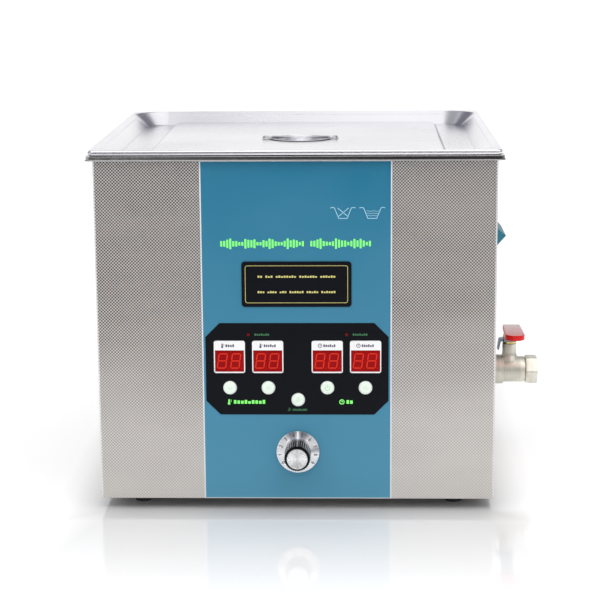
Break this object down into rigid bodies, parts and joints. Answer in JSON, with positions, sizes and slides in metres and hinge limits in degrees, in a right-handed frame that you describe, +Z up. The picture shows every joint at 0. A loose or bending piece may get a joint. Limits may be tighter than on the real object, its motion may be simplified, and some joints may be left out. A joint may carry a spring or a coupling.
{
  "type": "ultrasonic cleaner",
  "caption": "Bench ultrasonic cleaner with a drawn tank, lift-off lid with a grip cup, front display panel, knob, side handles and a side drain valve.",
  "frame": {"origin": "on the bench, midway between the four feet, under the middle of the case", "axes": "+X to the right and out of the drain valve, +Y from the control panel to the back, +Z up"},
  "size_m": [0.4253, 0.3748, 0.3228],
  "materials": {
    "steel_case": "embossed satin stainless sheet",
    "steel_sheet": "satin stainless sheet",
    "steel_tank": "drawn stainless, satin",
    "steel_lid": "pressed stainless, bright satin",
    "panel_edge": "white lacquered plate",
    "panel_blue": "printed polyester film, semi-matt",
    "panel_black": "printed polyester film, semi-matt",
    "bezel_white": "moulded",
    "display_red": "red tinted window over lit digits",
    "lamp_red": "moulded lamp",
    "circuit": "glass-fibre board with green lacquer",
    "part_black": "moulded",
    "seal_black": "moulded rubber",
    "ceramic": "fired ceramic ring",
    "horn_alu": "turned",
    "mass_steel": "turned, blacked",
    "bright_steel": "zinc plated",
    "heater_orange": "silicone rubber mat",
    "core_grey": "laminated core and wound coil",
    "capacitor_blue": "sleeved can",
    "rocker_red": "moulded",
    "handle_teal": "moulded, fine texture",
    "dial_silver": "satin printed scale",
    "grip_black": "fluted moulding",
    "cap_alu": "spun finish",
    "button_white": "moulded",
    "nickel": "nickel plated, sand-blasted",
    "raw_brass": "turned brass",
    "seat_white": "turned fluoropolymer ring",
    "lever_steel": "pressed and zinc plated",
    "lever_red": "dipped vinyl"
  },
  "bodies": {
    "case": {"housing": "steel_case", "back_panel": "steel_sheet", "base_plate": "steel_sheet", "front_plate": "panel_edge", "panel_film": "panel_blue", "control_film": "panel_black", "label_plate": "panel_black", "display_bezels": "bezel_white", "digit_modules": "display_red", "indicator_lamps": "lamp_red", "control_board": "circuit", "tact_switches": "part_black", "potentiometer": "part_black", "standoffs": "raw_brass", "tank": "steel_tank", "tank_gasket": "seal_black", "transducer_horns": "horn_alu", "piezo_rings": "ceramic", "transducer_backs": "mass_steel", "transducer_bolts": "bright_steel", "heater_pads": "heater_orange", "temperature_probe": "horn_alu", "generator_board": "circuit", "heat_sink": "horn_alu", "transformer": "core_grey", "capacitors": "capacitor_blue", "fan_frame": "part_black", "mains_inlet": "part_black", "rocker_frame": "part_black", "handle_left": "handle_teal", "handle_right": "handle_teal", "handle_screws": "bright_steel", "feet": "seal_black", "case_screws": "bright_steel", "drain_elbow": "steel_tank", "drain_nipple": "steel_sheet", "drain_nut": "raw_brass", "valve_body": "nickel", "valve_seats": "seat_white", "packing_nut": "raw_brass"},
    "lid": {"lid": "steel_lid", "lid_cup": "steel_lid", "lid_grip": "steel_lid"},
    "knob": {"knob_shaft": "bright_steel", "knob_dial": "dial_silver", "knob_grip": "grip_black", "knob_cap": "cap_alu"},
    "button_1": {"button_1": "button_white"},
    "button_2": {"button_2": "button_white"},
    "button_3": {"button_3": "button_white"},
    "button_4": {"button_4": "button_white"},
    "button_5": {"button_5": "button_white"},
    "rocker": {"power_rocker": "rocker_red"},
    "fan": {"fan_rotor": "part_black"},
    "lever": {"valve_lever": "lever_steel", "lever_grip": "lever_red", "lever_nut": "raw_brass", "valve_stem": "raw_brass", "valve_ball": "bright_steel"}
  },
  "joints": [
    {"name": "lid_lift", "type": "slide", "parent": "case", "child": "lid", "axis": [0, 0, 1], "range_m": [0, 0.2]},
    {"name": "knob_turn", "type": "hinge", "parent": "case", "child": "knob", "pos_m": [0.0012, -0.17, 0.054], "axis": [0, -1, 0], "range_deg": [-140, 140]},
    {"name": "button_1_press", "type": "slide", "parent": "case", "child": "button_1", "axis": [0, 1, 0], "range_m": [0, 0.0008], "stiffness_N_per_m": 500, "springref_m": -0.001},
    {"name": "button_2_press", "type": "slide", "parent": "case", "child": "button_2", "axis": [0, 1, 0], "range_m": [0, 0.0008], "stiffness_N_per_m": 500, "springref_m": -0.001},
    {"name": "button_3_press", "type": "slide", "parent": "case", "child": "button_3", "axis": [0, 1, 0], "range_m": [0, 0.0008], "stiffness_N_per_m": 500, "springref_m": -0.001},
    {"name": "button_4_press", "type": "slide", "parent": "case", "child": "button_4", "axis": [0, 1, 0], "range_m": [0, 0.0008], "stiffness_N_per_m": 500, "springref_m": -0.001},
    {"name": "button_5_press", "type": "slide", "parent": "case", "child": "button_5", "axis": [0, 1, 0], "range_m": [0, 0.0008], "stiffness_N_per_m": 500, "springref_m": -0.001},
    {"name": "rocker_switch", "type": "hinge", "parent": "case", "child": "rocker", "pos_m": [0.095, 0.1692, 0.09], "axis": [-1, 0, 0], "range_deg": [0, 20]},
    {"name": "fan_spin", "type": "hinge", "parent": "case", "child": "fan", "pos_m": [-0.088, 0.15, 0.064], "axis": [0, 1, 0], "continuous": true},
    {"name": "valve_turn", "type": "hinge", "parent": "case", "child": "lever", "pos_m": [0.204, 0.03, 0.1], "axis": [0, 0, 1], "range_deg": [0, 90]}
  ]
}
